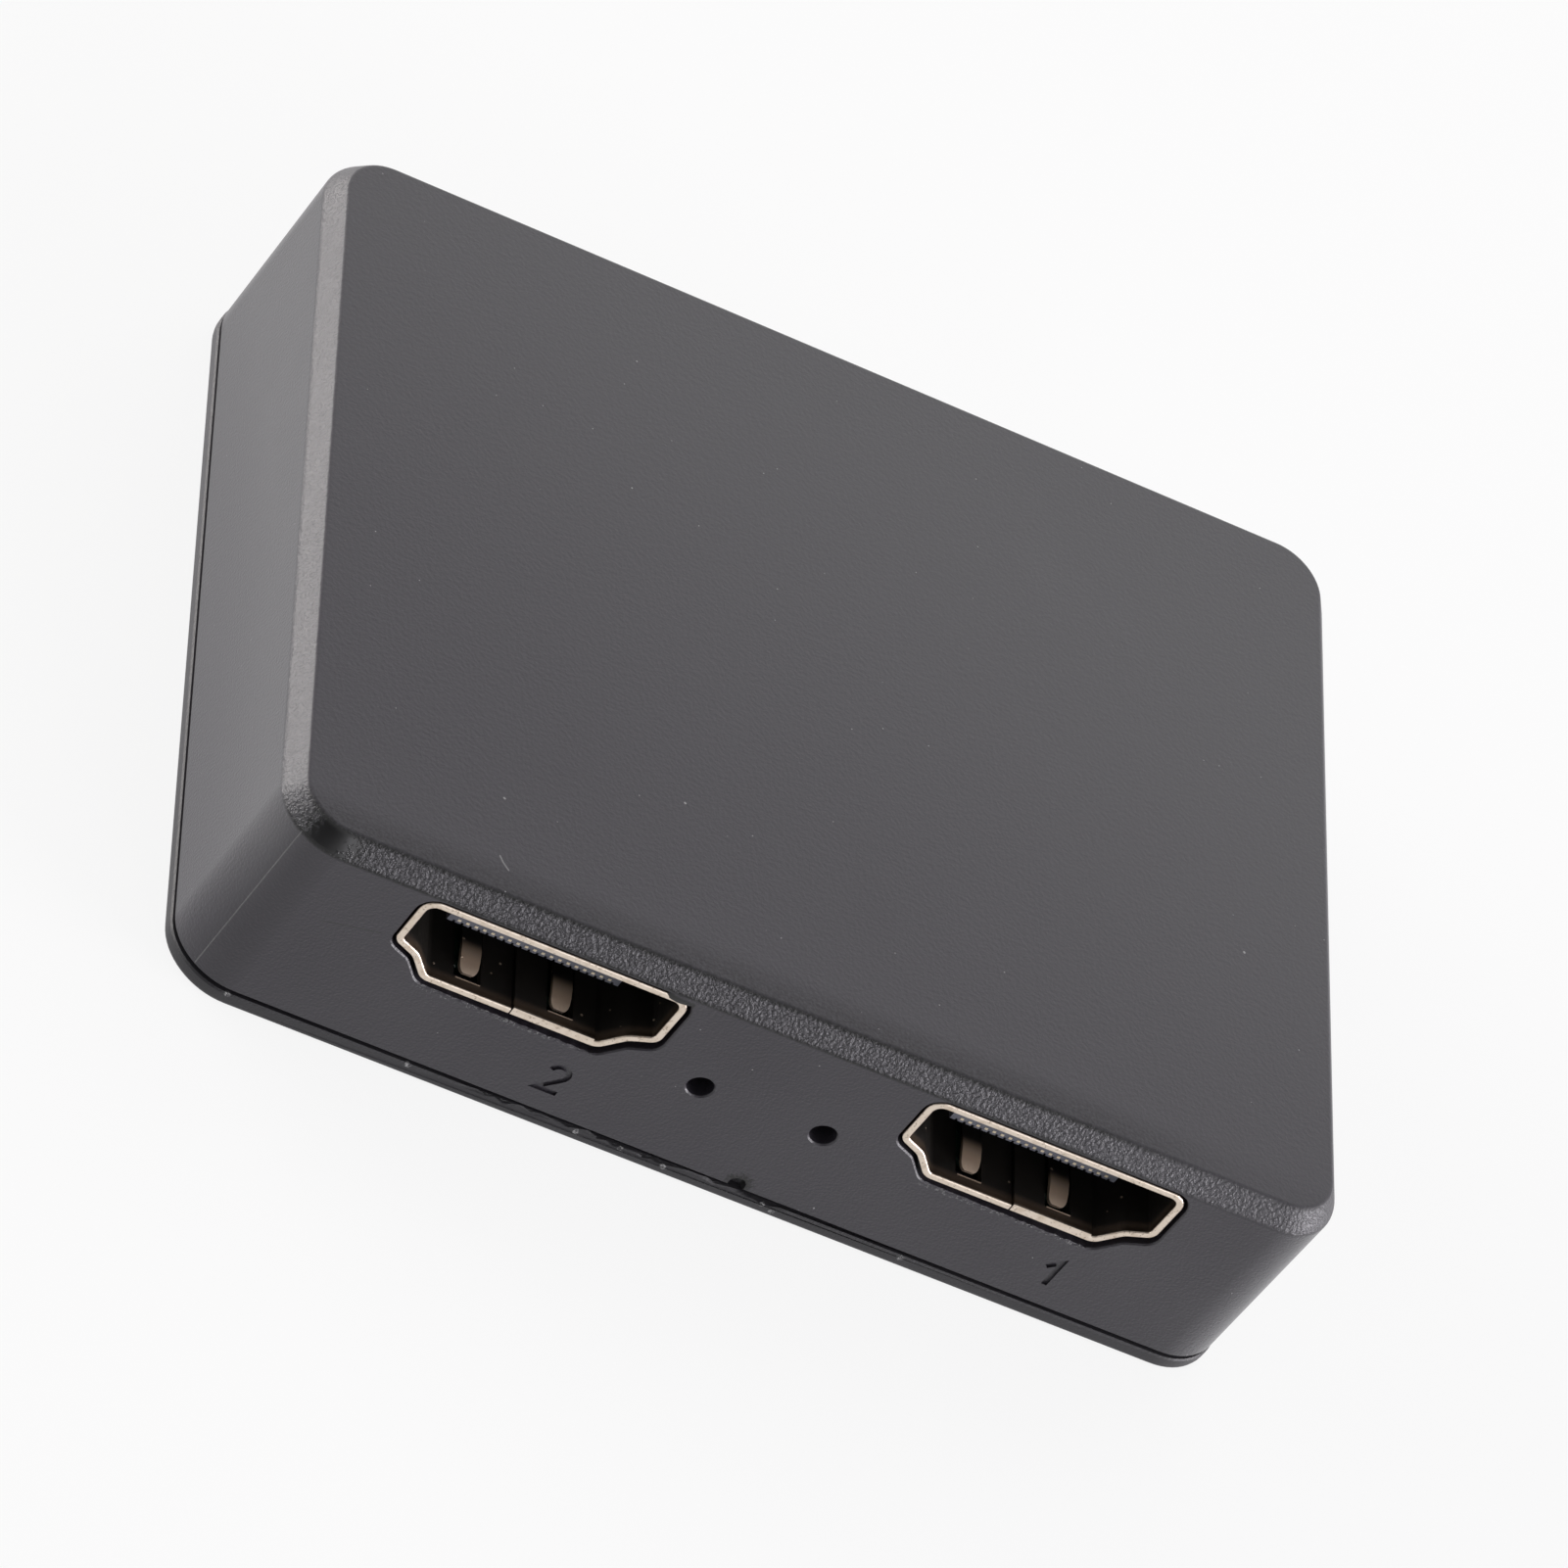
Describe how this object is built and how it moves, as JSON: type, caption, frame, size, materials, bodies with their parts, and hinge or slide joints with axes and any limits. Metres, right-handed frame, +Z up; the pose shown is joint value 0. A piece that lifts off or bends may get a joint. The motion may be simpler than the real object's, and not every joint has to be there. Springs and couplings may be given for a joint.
{
  "type": "video splitter",
  "caption": "Flat black plastic box that feeds a video input to output sockets in its front wall, with indicator holes, engraved numerals and a snap-fit bottom cover.",
  "frame": {"origin": "under the middle of the case, on the surface it stands on", "axes": "+X along the front wall, to the right seen from the front; -Y out of the output sockets; +Z up"},
  "size_m": [0.0602, 0.0476, 0.0135],
  "materials": {
    "housing_plastic": "fine matte grain on the roof, coarse grain on the bevel, satin walls",
    "cover_plastic": "satin moulded edge",
    "socket_metal": "nickel plated sheet, satin",
    "socket_plastic": "moulded, matte",
    "contact_gold": "gold flash over brass",
    "screw_steel": "zinc plated",
    "board_laminate": "solder mask over glass laminate",
    "light_plastic": "white reflector with clear lens",
    "chip_plastic": "moulded epoxy",
    "can_metal": "drawn nickel can",
    "ferrite": "sintered, dull",
    "capacitor_resin": "moulded resin",
    "capacitor_ceramic": "fired ceramic with tinned ends",
    "fuse_resin": "laminated resin with tinned ends"
  },
  "bodies": {
    "root": {"upper_housing": "housing_plastic", "bottom_cover": "cover_plastic", "board_screws": "screw_steel", "circuit_board": "board_laminate", "output_1_shell": "socket_metal", "output_1_insulator": "socket_plastic", "output_1_contacts": "contact_gold", "output_2_shell": "socket_metal", "output_2_insulator": "socket_plastic", "output_2_contacts": "contact_gold", "input_shell": "socket_metal", "input_insulator": "socket_plastic", "input_contacts": "contact_gold", "power_shell": "socket_metal", "power_insulator": "socket_plastic", "power_contacts": "contact_gold", "indicator_light_1": "light_plastic", "indicator_light_2": "light_plastic", "splitter_chip": "chip_plastic", "memory_chip": "chip_plastic", "timing_crystal": "can_metal", "surge_arrays": "chip_plastic", "level_transistors": "chip_plastic", "linear_regulator": "chip_plastic", "step_down_converter": "chip_plastic", "power_inductor": "ferrite", "bulk_capacitors": "capacitor_resin", "protection_diode": "chip_plastic", "ferrite_bead": "ferrite", "output_fuses": "fuse_resin", "ceramic_capacitors": "capacitor_ceramic", "chip_resistors": "chip_plastic"}
  },
  "joints": []
}
